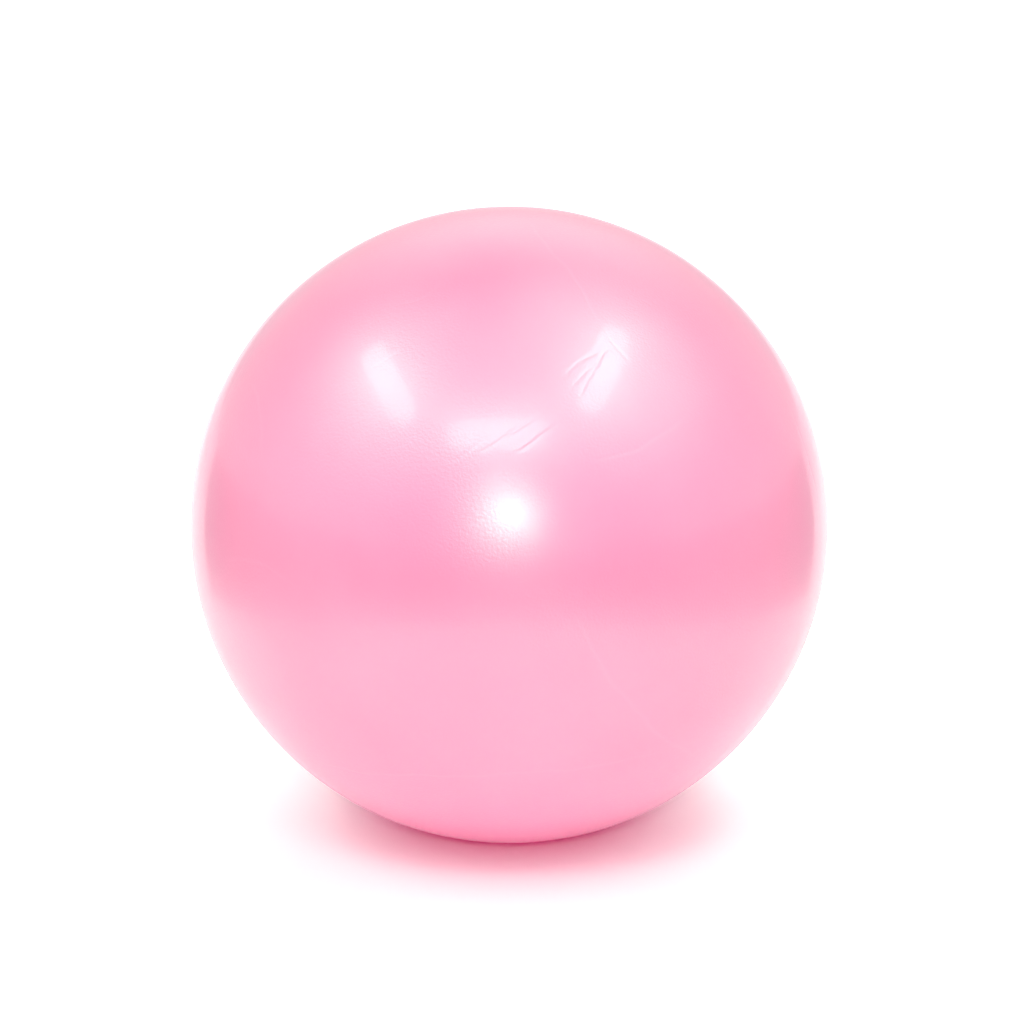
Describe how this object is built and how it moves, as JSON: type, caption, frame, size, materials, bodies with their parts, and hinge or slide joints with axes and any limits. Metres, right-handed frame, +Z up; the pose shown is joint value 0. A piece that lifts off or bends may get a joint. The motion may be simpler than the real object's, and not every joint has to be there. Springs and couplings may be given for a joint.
{
  "type": "exercise ball",
  "caption": "Small air-filled exercise ball: a smooth, glossy soft skin with a push-in plug in a flush valve, resting on a small flat patch.",
  "frame": {"origin": "centre of the flattened patch that the ball rests on", "axes": "+Z up through the ball's centre, -Y to the front, +Y out of the valve at the back"},
  "size_m": [0.25, 0.25, 0.249],
  "materials": {
    "skin_pvc": "gloss",
    "seat_pvc": "satin",
    "plug_pe": "satin"
  },
  "bodies": {
    "ball": {"ball_skin": "skin_pvc", "valve_seat": "seat_pvc"},
    "plug": {"valve_plug": "plug_pe"}
  },
  "joints": [
    {"name": "plug_pull", "type": "slide", "parent": "ball", "child": "plug", "axis": [0, 1, 0], "range_m": [0, 0.02]}
  ]
}
